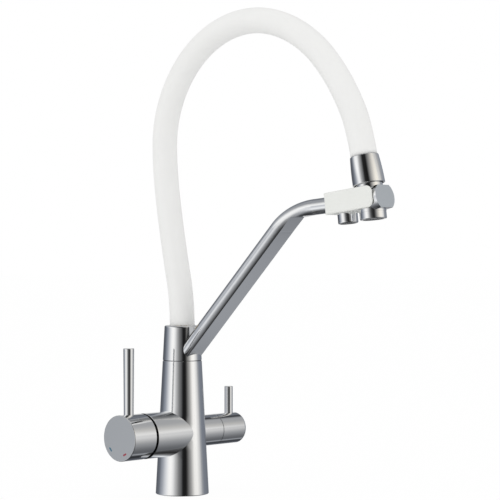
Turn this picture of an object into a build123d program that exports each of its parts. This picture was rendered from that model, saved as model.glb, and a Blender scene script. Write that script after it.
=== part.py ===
from build123d import *
import os
from math import asin, atan2, cos, degrees, pi, radians, sin, sqrt, tan

# Kitchen tap for mixed and filtered water, in millimetres.
# The origin is the centre of the base on the worktop. Z is up, the spout points to -Y,
# the mixer valve to -X and the filter valve to +X.

# Tapered column and the swivel collar that carries on its cone
base_radius = 25.0
seam_radius = 18.4
seam_height = 124.5
column_wall = 3.0
column_top_plate = 12.0
base_edge = 0.8
seam_edge = 0.3
washer_thick = 0.5
washer_inset = 0.6
collar_height = 32.5
collar_edge = 1.6
face_gap = 0.05
running_gap = 0.05

# Valve housings on the column
valve_height = 57.0
mixer_radius = 21.0
mixer_housing_reach = 50.9
mixer_edge = 0.5
filter_radius = 14.6
filter_housing_reach = 41.4
filter_edge = 0.4

# Brass water core inside the column, with its ports and channels
core_radius = 16.4
core_bottom = 10.0
core_top = 88.0
port_circle = 10.0
port_radius = 4.45
port_depth = 12.0
stud_radius = 3.4
stud_depth = 14.0
channel_radius = 2.6
riser_radius = 1.6
mixed_radius = 4.0
cartridge_inlet_drop = 6.0
cartridge_outlet_rise = 9.0
seat_reach = 12.5
base_flange_radius = 17.0
base_flange_height = 6.0
gasket_inner = 19.4
gasket_outer = 22.4
gasket_thick = 1.6

# Swivel post, its rings and its clip
post_radius = 9.5
post_flange_radius = 13.0
post_flange_thick = 5.0
post_above_clip = 4.0
post_channel_offset = 6.6
post_ring_section = 0.88
post_ring_sink = 0.85
post_ring_gap = 0.02
post_ring_land = 3.7
post_ring_top_land = 9.0
annulus_depth = 1.2
annulus_half_height = 2.0
clip_seat_rise = 18.95
clip_radius = 11.2
clip_thick = 1.4
clip_play = 0.3
clip_groove_depth = 1.2
clip_opening = 5.0

# Mixer cartridge, 35 mm size
cartridge_radius = 17.45
cartridge_length = 31.0
cartridge_neck_radius = 12.9
cartridge_neck_length = 7.0
carrier_radius = 10.2
carrier_gap = 0.1
carrier_foot = 44.2
carrier_end = 58.0
pivot_reach = 56.0
pivot_pin_radius = 1.5
pivot_pin_length = 17.0
stem_side = 7.0
stem_foot = 48.5
stem_end = 74.0
stem_gap = 0.15
slot_foot = 47.2
slot_low = 4.6
slot_high = 7.0
nut_radius = 18.95
nut_inner = 13.0
nut_length = 6.0
trim_radius = 16.2
trim_flange = 1.1
trim_end = 54.3
trim_edge = 1.2
valve_seal_radius = 3.6
valve_seal_section = 1.0

# Mixer handle: cap, lever rod, marks
handle_gap = 2.8
handle_reach = 80.5
handle_cup_radius = 18.2
handle_cup_depth = 10.0
handle_edge = 0.7
flow_angle = 14.0
tilt_clearance = 0.45
lever_reach = 68.9
lever_top = 138.4
lever_top_radius = 4.97
lever_root_radius = 4.55
lever_socket = 8.0
lever_edge = 0.6
grub_radius = 2.4
grub_length = 7.0
mark_circle = 15.8
mark_long = 4.6
mark_wide = 1.7
mark_deep = 0.4
cold_turn = 48.0
hot_turn = -26.0

# Filter valve: ceramic headpart and its handle
headpart_thread_radius = 8.45
headpart_body_radius = 10.6
headpart_thread_foot = 6.5
headpart_shoulder = 14.5
headpart_end = 46.0
inlet_radius = 5.0
inlet_foot = 1.5
inlet_turn_height = 44.0
inlet_turn_offset = 4.0
riser_offset = 12.0
riser_turn_height = 84.0
disc_radius = 6.2
disc_bore_radius = 6.25
disc_thick = 2.2
disc_port_radius = 1.8
disc_port_offset = 3.2
spindle_radius = 4.0
spindle_end = 57.5
filter_grub_reach = 53.0
filter_handle_gap = 0.3
filter_handle_reach = 73.3
filter_handle_edge = 2.8
filter_cup_radius = 11.3
filter_cup_depth = 8.0
filter_lever_reach = 63.0
filter_lever_top = 97.2
filter_lever_radius = 3.95
filter_lever_socket = 6.0
small_grub_radius = 1.9
small_grub_length = 5.0

# Spout arm: a wide tube with a flat underside that bends into a round tube
arm_meets_axis = 121.5
arm_bend_share = 0.7583
arm_half_width = 11.8
arm_half_height = 9.1
arm_tube_radius = 7.1
arm_bore_radius = 4.0
arm_bend_radius = 65.0
arm_bore_bend = 25.0
arm_tube_slope = 5.0

# White holder with its fork, and the filtered water outlet under it
holder_back = 187.7
holder_back_height = 267.8
holder_tilt = 7.0
holder_length = 52.9
holder_height = 18.9
holder_half_width = 14.6
holder_nose_radius = 6.2
holder_edge = 1.5
tube_socket = 6.0
socket_overrun = 1.0
fork_gap = 0.3
outlet_back = 13.1
outlet_radius = 8.85
outlet_length = 9.2
outlet_thread_radius = 6.15
outlet_thread_length = 6.8
outlet_bore_radius = 4.2
outlet_edge = 1.1
aerator_recess = 0.7
small_screen_radius = 7.2
small_screen_thick = 3.2

# Pull-off head: sleeve, body with its front boss, main outlet
head_forward = 41.33
head_drop = 2.2
head_lean = 12.5
sleeve_length = 25.0
sleeve_top_radius = 12.45
sleeve_bottom_radius = 14.1
sleeve_swell = 0.35
sleeve_wall = 1.4
sleeve_edge = 0.5
boss_below_top = 38.8
head_radius = 11.75
head_wall = 2.2
neck_radius = 10.7
boss_radius = 12.5
boss_reach = 14.95
boss_half_height = 10.0
boss_edge = 0.3
boss_bore_radius = 6.0
boss_cap_thick = 2.5
boss_cap_spigot = 3.0
outlet_joint_below = 10.2
head_bottom_below = 16.6
main_outlet_radius = 11.6
main_outlet_edge = 0.8
main_screen_radius = 9.0
outlet_spigot_radius = 9.5
outlet_spigot_length = 3.5
neck_above = 0.9
ferrule_radius = 9.6

# Silicone hose
hose_radius = 11.6
hose_jacket_bore = 8.3
liner_radius = 8.2
liner_bore = 6.6
hose_exit_run = 27.0
hose_end_run = 24.3
arc_share = 0.45
nipple_radius = 12.0
nipple_mouth_radius = 12.1
nipple_above_clip = 5.0
nipple_thick = 4.0
nipple_bore = 4.0
barb_radius = 6.5
barb_length = 12.0

# Hand-set points of the hose, forward (-Y) and up: first those that rise from the collar,
# as shares of the way up to the arch, then those that fall, as shares of the way down
arch_height = 437.6
rising_points = [
    (-8.6, 0.2318), (-16.6, 0.3758), (-22.6, 0.5199), (-24.0, 0.6675), (-10.4, 0.7997),
    (15.4, 0.9076), (50.1, 0.9768), (89.5, 1.0),
]
falling_points = [(128.0, 0.0606), (162.6, 0.2128), (187.0, 0.4148), (204.8, 0.628)]

# Shares that shape the arm's bend: way round, narrowing to the tube, drop of the flat
bend_turn_shares = (0.0, 0.3, 0.65, 1.0)
arm_narrowing_shares = (0.0, 0.22, 0.68, 1.0)
arm_drop_shares = (0.66, 0.7, 0.86, 0.98)

# Rings of holes in the jet inserts, as shares of the insert's radius
screen_ring_shares = (0.25, 0.5, 0.75)
screen_hole_counts = (6, 12, 18)
screen_hole_share = 0.075

overrun = 40.0


def cone_radius(height):
    """Outer radius of the column's cone at a height above the worktop."""
    return base_radius - (base_radius - seam_radius) * height / seam_height


def rod(plane, radius, start, end, mode=Mode.ADD):
    """Cylinder along a plane's normal, between two distances from it."""
    with Locations(plane.offset(start)):
        Cylinder(radius, end - start, align=(Align.CENTER, Align.CENTER, Align.MIN), mode=mode)


def cone(plane, start_radius, end_radius, start, end, mode=Mode.ADD):
    """Cone along a plane's normal, between two distances from it."""
    with Locations(plane.offset(start)):
        Cone(start_radius, end_radius, end - start,
             align=(Align.CENTER, Align.CENTER, Align.MIN), mode=mode)


def drill(start, direction, radius, length):
    """Take a round channel out of the part that is being built."""
    rod(Plane(origin=start, z_dir=direction), radius, 0, length, mode=Mode.SUBTRACT)


def save(builder, name):
    """Label a finished piece and write its file."""
    builder.part.label = name
    export_step(builder.part, f"parts/{name}.step")


os.makedirs("parts", exist_ok=True)

collar_foot = seam_height + washer_thick + face_gap
collar_top = collar_foot + collar_height
mixer_axis = Plane(origin=(0, 0, valve_height), x_dir=(0, 1, 0), z_dir=(-1, 0, 0))
filter_axis = Plane(origin=(0, 0, valve_height), x_dir=(0, 1, 0), z_dir=(1, 0, 0))
up_axis = Plane.XY
port_side = port_circle / sqrt(2)
annulus_height = arm_meets_axis + post_radius
nut_foot = seat_reach + cartridge_length + face_gap
clip_seat_height = collar_foot + clip_seat_rise
post_top = clip_seat_height + post_above_clip
nipple_foot_height = clip_seat_height + nipple_above_clip

# Column body with both valve housings, open at the base
cavity_top = seam_height - column_top_plate
with BuildPart() as column_body:
    cone(up_axis, base_radius, seam_radius, 0, seam_height)
    rod(mixer_axis, mixer_radius, 0, mixer_housing_reach)
    rod(filter_axis, filter_radius, 0, filter_housing_reach)
    fillet(column_body.edges().filter_by(GeomType.CIRCLE).sort_by(Axis.Z)[0], base_edge)
    fillet(column_body.edges().filter_by(GeomType.CIRCLE).sort_by(Axis.X)[0], mixer_edge)
    fillet(column_body.edges().filter_by(GeomType.CIRCLE).sort_by(Axis.X)[-1], filter_edge)
    chamfer(column_body.edges().filter_by(GeomType.CIRCLE).sort_by(Axis.Z)[-1], seam_edge)
    cone(up_axis, cone_radius(base_flange_height) - column_wall,
         cone_radius(cavity_top) - column_wall, base_flange_height, cavity_top,
         mode=Mode.SUBTRACT)
    rod(up_axis, base_flange_radius, 0, base_flange_height, mode=Mode.SUBTRACT)
    with BuildSketch():
        Circle(gasket_outer)
        Circle(gasket_inner, mode=Mode.SUBTRACT)
    extrude(amount=gasket_thick + face_gap, mode=Mode.SUBTRACT)
    rod(mixer_axis, cartridge_radius + running_gap, 0, mixer_housing_reach, mode=Mode.SUBTRACT)
    rod(mixer_axis, nut_radius + running_gap, nut_foot, mixer_housing_reach, mode=Mode.SUBTRACT)
    rod(filter_axis, headpart_body_radius + running_gap, 0, filter_housing_reach,
        mode=Mode.SUBTRACT)
    rod(up_axis, post_radius + running_gap, cavity_top, seam_height, mode=Mode.SUBTRACT)
save(column_body, "column_body")

# Flat rubber ring in the groove under the base
with BuildPart() as base_gasket:
    with BuildSketch():
        Circle(gasket_outer - face_gap)
        Circle(gasket_inner + face_gap, mode=Mode.SUBTRACT)
    extrude(amount=gasket_thick)
save(base_gasket, "base_gasket")

# Brass core: three threaded hose ports, a stud hole and the channels to both valves
inlet_top = core_bottom + port_depth
hot_port = (-port_side, port_side)
cold_port = (-port_side, -port_side)
filter_port = (port_side, port_side)
stud_place = (port_side, -port_side)
inlet_height = valve_height - cartridge_inlet_drop
outlet_height = valve_height + cartridge_outlet_rise
with BuildPart() as water_core:
    rod(up_axis, core_radius, core_bottom, core_top)
    rod(mixer_axis, cartridge_radius + running_gap, seat_reach, overrun, mode=Mode.SUBTRACT)
    for port in (hot_port, cold_port, filter_port):
        drill((*port, core_bottom), (0, 0, 1), port_radius, port_depth)
    drill((*stud_place, core_bottom), (0, 0, 1), stud_radius, stud_depth)
    for port in (hot_port, cold_port):
        drill((*port, inlet_top), (0, 0, 1), channel_radius, inlet_height - inlet_top)
        drill((*port, inlet_height), (-1, 0, 0), channel_radius, overrun)
    drill((0, 0, outlet_height), (-1, 0, 0), channel_radius, overrun)
    drill((0, 0, outlet_height), (0, 0, 1), mixed_radius, core_top - outlet_height)
    drill((*filter_port, inlet_top), (0, 0, 1), riser_radius, inlet_turn_height - inlet_top)
    turn_run = Vector(inlet_turn_offset - port_side, -port_side, 0)
    drill((*filter_port, inlet_turn_height), turn_run, riser_radius, turn_run.length)
    drill((inlet_turn_offset, 0, inlet_turn_height), (0, 0, 1), riser_radius,
          valve_height - inlet_turn_height)
    rod(filter_axis, inlet_radius, inlet_foot, overrun, mode=Mode.SUBTRACT)
    rod(filter_axis, headpart_thread_radius + running_gap, headpart_thread_foot, overrun,
        mode=Mode.SUBTRACT)
    rod(filter_axis, headpart_body_radius + running_gap, headpart_shoulder, overrun,
        mode=Mode.SUBTRACT)
    drill((riser_offset, 0, valve_height), (0, 0, 1), riser_radius,
          riser_turn_height - valve_height)
    drill((riser_offset, 0, riser_turn_height), (-1, 0, 0), riser_radius,
          riser_offset - post_channel_offset)
    drill((post_channel_offset, 0, riser_turn_height), (0, 0, 1), riser_radius,
          core_top - riser_turn_height)
save(water_core, "water_core")

# Swivel post: mixed water up the middle, filtered water up the side to the ring channel
post_foot = core_top + face_gap
ring_heights = (
    annulus_height - post_ring_land,
    annulus_height + post_ring_land,
    annulus_height + post_ring_top_land,
)
ring_centre_radius = post_radius - post_ring_sink
with BuildPart() as swivel_post:
    rod(up_axis, post_radius, post_foot, post_top)
    rod(up_axis, post_flange_radius, post_foot, post_foot + post_flange_thick)
    drill((0, 0, post_foot), (0, 0, 1), mixed_radius, overrun + post_top)
    drill((post_channel_offset, 0, post_foot), (0, 0, 1), riser_radius,
          annulus_height - post_foot)
    drill((post_channel_offset, 0, annulus_height), (1, 0, 0), riser_radius, overrun)
    grooves = [(annulus_height, annulus_half_height, annulus_depth)]
    ring_depth = post_ring_sink + post_ring_section + post_ring_gap
    grooves += [(h, post_ring_section + post_ring_gap, ring_depth) for h in ring_heights]
    grooves += [(clip_seat_height + clip_play + clip_thick / 2, clip_thick / 2 + post_ring_gap,
                 clip_groove_depth)]
    for middle, half_height, depth in grooves:
        with BuildSketch(Plane.XY.offset(middle - half_height)):
            Circle(post_radius + running_gap)
            Circle(post_radius - depth, mode=Mode.SUBTRACT)
        extrude(amount=2 * half_height, mode=Mode.SUBTRACT)
save(swivel_post, "swivel_post")

with BuildPart() as post_rings:
    for height in ring_heights:
        with Locations((0, 0, height)):
            Torus(ring_centre_radius, post_ring_section)
save(post_rings, "post_rings")

# Spring clip that holds the collar down on the post
with BuildPart() as collar_clip:
    with BuildSketch(Plane.XY.offset(clip_seat_height + clip_play)):
        Circle(clip_radius)
        Circle(post_radius - clip_groove_depth + post_ring_gap, mode=Mode.SUBTRACT)
        with Locations((0, clip_radius)):
            Rectangle(clip_opening, 2 * clip_radius, mode=Mode.SUBTRACT)
    extrude(amount=clip_thick)
save(collar_clip, "collar_clip")

# Thin bearing washer in the seam between column and collar
with BuildPart() as glide_washer:
    with BuildSketch(Plane.XY.offset(seam_height)):
        Circle(seam_radius - washer_inset)
        Circle(post_radius + running_gap, mode=Mode.SUBTRACT)
    extrude(amount=washer_thick)
save(glide_washer, "glide_washer")

# Mixer cartridge with its seals, nut and trim ring
seat = seat_reach + face_gap
cartridge_end = seat_reach + cartridge_length
cartridge_ports = [
    (port_side, cartridge_inlet_drop),
    (-port_side, cartridge_inlet_drop),
    (0, -cartridge_outlet_rise),
]
with BuildPart() as cartridge_body:
    rod(mixer_axis, cartridge_radius, seat, cartridge_end)
    rod(mixer_axis, cartridge_neck_radius, cartridge_end, cartridge_end + cartridge_neck_length)
    rod(mixer_axis, carrier_radius + carrier_gap, carrier_foot - carrier_gap, overrun + overrun,
        mode=Mode.SUBTRACT)
    with BuildSketch(mixer_axis.offset(seat)):
        with Locations(*cartridge_ports):
            Circle(channel_radius)
    extrude(amount=port_depth, mode=Mode.SUBTRACT)
    with BuildSketch(mixer_axis.offset(seat)):
        with Locations(*cartridge_ports):
            Circle(valve_seal_radius)
    extrude(amount=valve_seal_section, mode=Mode.SUBTRACT)
save(cartridge_body, "cartridge_body")

with BuildPart() as cartridge_seals:
    with BuildSketch(mixer_axis.offset(seat)):
        with Locations(*cartridge_ports):
            Circle(valve_seal_radius - post_ring_gap)
            Circle(channel_radius, mode=Mode.SUBTRACT)
    extrude(amount=valve_seal_section - post_ring_gap)
save(cartridge_seals, "cartridge_seals")

with BuildPart() as cartridge_nut:
    rod(mixer_axis, nut_radius, nut_foot, nut_foot + nut_length)
    rod(mixer_axis, nut_inner, nut_foot, nut_foot + nut_length, mode=Mode.SUBTRACT)
save(cartridge_nut, "cartridge_nut")

trim_foot = nut_foot + nut_length + face_gap
with BuildPart() as trim_ring:
    rod(mixer_axis, nut_radius, trim_foot, trim_foot + trim_flange)
    rod(mixer_axis, trim_radius, trim_foot, trim_end)
    chamfer(trim_ring.edges().filter_by(GeomType.CIRCLE).sort_by(Axis.X)[0], trim_edge)
    rod(mixer_axis, nut_inner, trim_foot, trim_end, mode=Mode.SUBTRACT)
save(trim_ring, "trim_ring")

# Turning carrier of the cartridge, and the pin that the lever stem tilts on
pivot = Plane(origin=(-pivot_reach, 0, valve_height), x_dir=(0, 0, 1), z_dir=(0, 1, 0))
with BuildPart() as cartridge_carrier:
    rod(mixer_axis, carrier_radius, carrier_foot, carrier_end)
    with BuildSketch(mixer_axis.offset(slot_foot)):
        with Locations((0, (slot_low - slot_high) / 2)):
            Rectangle(stem_side + 2 * stem_gap, slot_low + slot_high)
    extrude(amount=overrun, mode=Mode.SUBTRACT)
    rod(pivot, pivot_pin_radius, -pivot_pin_length / 2, pivot_pin_length / 2,
        mode=Mode.SUBTRACT)
save(cartridge_carrier, "cartridge_carrier")

with BuildPart() as pivot_pin:
    rod(pivot, pivot_pin_radius, -pivot_pin_length / 2, pivot_pin_length / 2)
save(pivot_pin, "pivot_pin")

with BuildPart() as lever_stem:
    with BuildSketch(mixer_axis.offset(stem_foot)):
        Rectangle(stem_side, stem_side)
    extrude(amount=stem_end - stem_foot)
    rod(pivot, pivot_pin_radius + running_gap, -stem_side, stem_side, mode=Mode.SUBTRACT)
save(lever_stem, "lever_stem")

# Mixer cap: a cup over the cartridge, cut slantwise at the lower rear for the tilt
cap_foot = mixer_housing_reach + handle_gap
cap_floor = cap_foot + handle_cup_depth
tilt_normal = Vector(-cos(radians(flow_angle)), 0, sin(radians(flow_angle)))
tilt_reach = mixer_housing_reach + tilt_clearance - pivot_reach
tilt_plane = Plane(origin=Vector(-pivot_reach, 0, valve_height) + tilt_normal * tilt_reach,
                   x_dir=(0, 1, 0), z_dir=tilt_normal * -1)
lever_axis = Plane(origin=(-lever_reach, 0, valve_height), x_dir=(1, 0, 0), z_dir=(0, 0, 1))
lever_height = lever_top - valve_height
grub_axis = Plane(origin=(-lever_reach, 0, valve_height), x_dir=(1, 0, 0), z_dir=(0, 0, -1))
grub_start = stem_side / 2 + stem_gap
mark_places = {
    "cold_mark": cold_turn,
    "hot_mark": hot_turn,
}


def mark_sketch(turn):
    """Outline of one temperature mark on the cap's face."""
    angle = radians(turn)
    with BuildSketch(mixer_axis.offset(handle_reach - mark_deep)) as outline:
        with Locations((mark_circle * sin(angle), mark_circle * cos(angle))):
            SlotOverall(mark_long, mark_wide, rotation=-turn)
    return outline.sketch


with BuildPart() as mixer_cap:
    rod(mixer_axis, mixer_radius, cap_foot, handle_reach)
    fillet(mixer_cap.edges().filter_by(GeomType.CIRCLE).sort_by(Axis.X)[0], handle_edge)
    rod(mixer_axis, handle_cup_radius, cap_foot, cap_floor, mode=Mode.SUBTRACT)
    with BuildSketch(mixer_axis.offset(cap_floor)):
        Rectangle(stem_side + 2 * stem_gap, stem_side + 2 * stem_gap)
    extrude(amount=stem_end + stem_gap - cap_floor, mode=Mode.SUBTRACT)
    rod(lever_axis, lever_root_radius + running_gap, lever_socket - face_gap, overrun,
        mode=Mode.SUBTRACT)
    rod(grub_axis, grub_radius + running_gap, grub_start, overrun, mode=Mode.SUBTRACT)
    rod(tilt_plane, overrun, 0, overrun, mode=Mode.SUBTRACT)
    for turn in mark_places.values():
        extrude(mark_sketch(turn), amount=mark_deep, mode=Mode.SUBTRACT)
save(mixer_cap, "mixer_cap")

for mark_name, turn in mark_places.items():
    with BuildPart() as mark:
        extrude(mark_sketch(turn), amount=mark_deep)
    save(mark, mark_name)

with BuildPart() as mixer_lever:
    rod(lever_axis, lever_root_radius, lever_socket, mixer_radius)
    cone(lever_axis, lever_root_radius, lever_top_radius, mixer_radius, lever_height)
    fillet(mixer_lever.edges().filter_by(GeomType.CIRCLE).sort_by(Axis.Z)[-1], lever_edge)
save(mixer_lever, "mixer_lever")

with BuildPart() as mixer_grub_screw:
    rod(grub_axis, grub_radius, grub_start, grub_start + grub_length)
save(mixer_grub_screw, "mixer_grub_screw")

# Filter valve: headpart with two ceramic discs and a spindle
fixed_disc_foot = headpart_thread_foot + face_gap
turning_disc_foot = fixed_disc_foot + disc_thick + face_gap
spindle_foot = turning_disc_foot + disc_thick
with BuildPart() as filter_headpart:
    rod(filter_axis, headpart_thread_radius, headpart_thread_foot, headpart_shoulder)
    rod(filter_axis, headpart_body_radius, headpart_shoulder, headpart_end)
    rod(filter_axis, disc_bore_radius, headpart_thread_foot, headpart_shoulder,
        mode=Mode.SUBTRACT)
    rod(filter_axis, spindle_radius + running_gap, headpart_thread_foot, headpart_end,
        mode=Mode.SUBTRACT)
    drill((riser_offset, 0, valve_height), (0, 0, 1), riser_radius, overrun)
save(filter_headpart, "filter_headpart")

with BuildPart() as fixed_disc:
    rod(filter_axis, disc_radius, fixed_disc_foot, fixed_disc_foot + disc_thick)
    with BuildSketch(filter_axis.offset(fixed_disc_foot)):
        with Locations((disc_port_offset, 0), (-disc_port_offset, 0)):
            Circle(disc_port_radius)
    extrude(amount=disc_thick, mode=Mode.SUBTRACT)
save(fixed_disc, "fixed_disc")

with BuildPart() as turning_disc:
    rod(filter_axis, disc_radius, turning_disc_foot, turning_disc_foot + disc_thick)
    with BuildSketch(filter_axis.offset(turning_disc_foot)):
        with Locations((0, disc_port_offset), (0, -disc_port_offset)):
            Circle(disc_port_radius)
    extrude(amount=disc_thick, mode=Mode.SUBTRACT)
save(turning_disc, "turning_disc")

with BuildPart() as filter_spindle:
    rod(filter_axis, spindle_radius, spindle_foot, spindle_end)
save(filter_spindle, "filter_spindle")

# Filter handle: cap, small lever rod and grub screw
filter_cap_foot = filter_housing_reach + filter_handle_gap
filter_cap_floor = filter_cap_foot + filter_cup_depth
filter_lever_axis = Plane(origin=(filter_lever_reach, 0, valve_height), x_dir=(1, 0, 0),
                          z_dir=(0, 0, 1))
filter_grub_axis = Plane(origin=(filter_grub_reach, 0, valve_height), x_dir=(1, 0, 0),
                         z_dir=(0, 0, -1))
with BuildPart() as filter_cap:
    rod(filter_axis, filter_radius, filter_cap_foot, filter_handle_reach)
    fillet(filter_cap.edges().filter_by(GeomType.CIRCLE).sort_by(Axis.X)[-1],
           filter_handle_edge)
    rod(filter_axis, filter_cup_radius, filter_cap_foot, filter_cap_floor, mode=Mode.SUBTRACT)
    rod(filter_axis, spindle_radius + running_gap, filter_cap_floor, spindle_end + face_gap,
        mode=Mode.SUBTRACT)
    rod(filter_lever_axis, filter_lever_radius + running_gap, filter_lever_socket - face_gap,
        overrun, mode=Mode.SUBTRACT)
    rod(filter_grub_axis, small_grub_radius + running_gap, spindle_radius, overrun,
        mode=Mode.SUBTRACT)
save(filter_cap, "filter_cap")

with BuildPart() as filter_lever:
    rod(filter_lever_axis, filter_lever_radius, filter_lever_socket,
        filter_lever_top - valve_height)
    fillet(filter_lever.edges().filter_by(GeomType.CIRCLE).sort_by(Axis.Z)[-1], lever_edge)
save(filter_lever, "filter_lever")

with BuildPart() as filter_grub_screw:
    small_grub_start = spindle_radius + face_gap
    rod(filter_grub_axis, small_grub_radius, small_grub_start,
        small_grub_start + small_grub_length)
save(filter_grub_screw, "filter_grub_screw")

# Swivel collar, with its mouth for the hose nipple and the port to the arm
tube_rise = tan(radians(arm_tube_slope))
bend_forward = holder_back * arm_bend_share
bend_height = holder_back_height - (holder_back - bend_forward) * tube_rise
arm_slope = degrees(atan2(bend_height - arm_meets_axis, bend_forward))
arm_direction = Vector(0, -cos(radians(arm_slope)), sin(radians(arm_slope)))
collar_foot_radius = cone_radius(collar_foot)
collar_top_radius = cone_radius(collar_top)
with BuildPart() as swivel_collar:
    cone(up_axis, collar_foot_radius, collar_top_radius, collar_foot, collar_top)
    fillet(swivel_collar.edges().filter_by(GeomType.CIRCLE).sort_by(Axis.Z)[-1], collar_edge)
    chamfer(swivel_collar.edges().filter_by(GeomType.CIRCLE).sort_by(Axis.Z)[0], seam_edge)
    rod(up_axis, post_radius + running_gap, collar_foot, clip_seat_height, mode=Mode.SUBTRACT)
    rod(up_axis, nipple_mouth_radius, clip_seat_height, collar_top, mode=Mode.SUBTRACT)
    drill((0, 0, arm_meets_axis), arm_direction, annulus_half_height, overrun)
save(swivel_collar, "swivel_collar")

with BuildPart() as hose_nipple:
    nipple_top = nipple_foot_height + nipple_thick
    rod(up_axis, nipple_radius, nipple_foot_height, nipple_top)
    rod(up_axis, barb_radius, nipple_top, nipple_top + barb_length)
    rod(up_axis, nipple_bore, nipple_foot_height, nipple_top + barb_length,
        mode=Mode.SUBTRACT)
save(hose_nipple, "hose_nipple")

# Spout arm: straight wide tube, a bend that narrows, and a round tube into the holder.
# The flat underside runs straight on until it meets the tube's underside.
bend_tangent = arm_bend_radius * tan(radians((arm_slope - arm_tube_slope) / 2))
bend_start = (bend_forward - bend_tangent * cos(radians(arm_slope)),
              bend_height - bend_tangent * sin(radians(arm_slope)))
bend_centre = (bend_start[0] + arm_bend_radius * sin(radians(arm_slope)),
               bend_start[1] - arm_bend_radius * cos(radians(arm_slope)))


def bend_plane(share):
    """Cross plane of the arm at a share of the way round its bend."""
    slope = radians(arm_slope + (arm_tube_slope - arm_slope) * share)
    forward = bend_centre[0] - arm_bend_radius * sin(slope)
    height = bend_centre[1] + arm_bend_radius * cos(slope)
    return Plane(origin=(0, -forward, height), x_dir=(1, 0, 0),
                 z_dir=(0, -cos(slope), sin(slope)))


def arm_section(plane, narrowing, drop_share):
    """Wide oval with a flat underside, narrowed towards the round tube."""
    half_width = arm_half_width + (arm_tube_radius - arm_half_width) * narrowing
    half_height = arm_half_height + (arm_tube_radius - arm_half_height) * narrowing
    corner = degrees(asin(drop_share))
    with BuildSketch(plane) as section:
        with BuildLine():
            crown = EllipticalCenterArc((0, 0), half_width, half_height, -corner,
                                        arc_size=180 + 2 * corner)
            Line(crown @ 1, crown @ 0)
        make_face()
    return section.sketch


tube_direction = Vector(0, -cos(radians(arm_tube_slope)), sin(radians(arm_tube_slope)))
bend_end = bend_plane(1).origin
holder_point = Vector(0, -holder_back, holder_back_height)
tube_run = (holder_point - bend_end).length + tube_socket
foot_plane = Plane(origin=(0, 0, arm_meets_axis), x_dir=(1, 0, 0), z_dir=arm_direction)
flat_end = bend_plane(0).origin - bend_plane(0).y_dir * arm_half_height * arm_drop_shares[0]
tube_start = bend_end - bend_plane(1).y_dir * arm_tube_radius * arm_drop_shares[-1]
flat_run = (tube_start - flat_end).cross(tube_direction).X / arm_direction.cross(
    tube_direction).X
flat_tip = flat_end + arm_direction * flat_run
with BuildPart() as spout_arm:
    extrude(arm_section(foot_plane, 0, arm_drop_shares[0]),
            amount=(bend_plane(0).origin - foot_plane.origin).length)
    loft([arm_section(bend_plane(turn), narrowing, drop) for turn, narrowing, drop
          in zip(bend_turn_shares, arm_narrowing_shares, arm_drop_shares)])
    extrude(arm_section(bend_plane(1), 1, arm_drop_shares[-1]), amount=tube_run)
    with BuildSketch(Plane.YZ):
        with BuildLine():
            Polyline([(point.Y, point.Z) for point in (flat_end, flat_tip, tube_start)]
                     + [(-bend_centre[0], bend_centre[1])], close=True)
        make_face()
    extrude(amount=arm_half_width, both=True, mode=Mode.SUBTRACT)
    cone(up_axis, collar_foot_radius + face_gap, collar_top_radius + face_gap, collar_foot,
         collar_top, mode=Mode.SUBTRACT)
    rod(up_axis, base_radius, 0, collar_foot, mode=Mode.SUBTRACT)
    with BuildLine() as bore_path:
        FilletPolyline(foot_plane.origin, (0, -bend_forward, bend_height),
                       bend_end + tube_direction * tube_run * 2, radius=arm_bore_bend)
    with BuildSketch(foot_plane):
        Circle(arm_bore_radius)
    sweep(path=bore_path.line, mode=Mode.SUBTRACT)
save(spout_arm, "spout_arm")

# White holder: a block with a rounded nose, forked at the front to grip the head
holder_direction = Vector(0, -cos(radians(holder_tilt)), sin(radians(holder_tilt)))
holder_side = Plane(origin=holder_point, x_dir=holder_direction, z_dir=(-1, 0, 0))
holder_top = Plane(origin=holder_point, x_dir=(1, 0, 0),
                   z_dir=(0, sin(radians(holder_tilt)), cos(radians(holder_tilt))))
head_up = Vector(0, sin(radians(head_lean)), cos(radians(head_lean)))
head_axis = Plane(origin=holder_point + holder_direction * head_forward
                  - holder_top.z_dir * head_drop, x_dir=(1, 0, 0), z_dir=head_up)
sleeve_top_point = head_axis.origin + head_up * boss_below_top
outlet_axis = Plane(origin=holder_point + holder_direction * outlet_back, x_dir=(1, 0, 0),
                    z_dir=-holder_top.z_dir)
holder_half_height = holder_height / 2
fork_radius = head_radius + fork_gap
fork_half_width = boss_radius + fork_gap
outlet_down = Plane(origin=head_axis.origin, x_dir=(1, 0, 0), z_dir=-holder_top.z_dir)
fork_low_axis = Plane(origin=head_axis.origin, x_dir=(1, 0, 0), z_dir=holder_top.z_dir)
with BuildPart() as holder_block:
    with BuildSketch(holder_side) as holder_profile:
        Rectangle(holder_length, holder_height, align=(Align.MIN, Align.CENTER))
        fillet(holder_profile.vertices().sort_by(Axis.X)[-2:], holder_nose_radius)
    extrude(amount=holder_half_width, both=True)
    side_faces = holder_block.faces().filter_by(Axis.X)
    fillet(side_faces.edges(), holder_edge)
    for fork_axis in (head_axis, fork_low_axis):
        rod(fork_axis, fork_radius, -overrun, overrun, mode=Mode.SUBTRACT)
        with Locations(fork_axis):
            Box(2 * fork_half_width, overrun, 2 * overrun,
                align=(Align.CENTER, Align.MAX, Align.CENTER), mode=Mode.SUBTRACT)
    drill(holder_point - tube_direction * socket_overrun, tube_direction,
          arm_tube_radius + running_gap, tube_socket + socket_overrun)
    drill(holder_point, holder_direction, arm_bore_radius, outlet_back)
    rod(outlet_axis, arm_bore_radius, 0, overrun, mode=Mode.SUBTRACT)
    rod(outlet_axis, outlet_thread_radius + running_gap,
        holder_half_height - outlet_thread_length, overrun, mode=Mode.SUBTRACT)
save(holder_block, "holder_block")

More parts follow.
